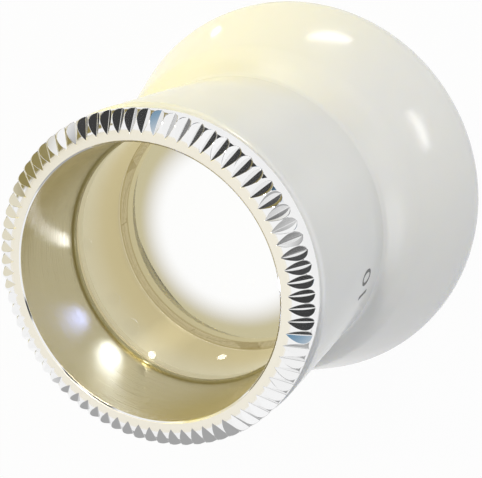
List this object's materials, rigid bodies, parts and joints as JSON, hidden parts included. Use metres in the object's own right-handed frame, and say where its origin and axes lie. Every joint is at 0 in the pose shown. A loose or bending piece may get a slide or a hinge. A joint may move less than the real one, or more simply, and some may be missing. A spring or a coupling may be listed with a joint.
{
  "type": "watchmaker's eye loupe",
  "caption": "Eye loupe with a flared moulded eye cup and a knurled, screw-in metal cell that holds a pair of magnifying lenses.",
  "frame": {"origin": "centre of the eye cup's rim, on the loupe's axis, in the plane that the rim stands on", "axes": "+Z along the loupe's axis, from the eye cup to the knurled ring"},
  "size_m": [0.0372, 0.0372, 0.0311],
  "materials": {
    "ivory_plastic": "glossy moulded ivory",
    "bright_chrome": "polished chrome plate, satin inside",
    "optical_glass": "polished clear glass",
    "bare_aluminium": "fine turned"
  },
  "bodies": {
    "eyecup": {"eyecup_body": "ivory_plastic"},
    "lens_pair": {"front_lens": "optical_glass", "lens_spacer": "bare_aluminium", "rear_lens": "optical_glass"},
    "cell": {"knurled_ring": "bright_chrome", "retaining_ring": "bare_aluminium"}
  },
  "joints": [
    {"name": "cell_travel", "type": "slide", "parent": "eyecup", "child": "lens_pair", "axis": [0, 0, 1], "range_m": [0, 0.00375]},
    {"name": "ring_turn", "type": "hinge", "parent": "lens_pair", "child": "cell", "pos_m": [0, 0, 0.0285], "axis": [0, 0, 1], "range_deg": [0, 1800]}
  ],
  "couplings": [
    {"joint": "cell_travel", "follows": "ring_turn", "m_per_rad": 0.00011937}
  ]
}
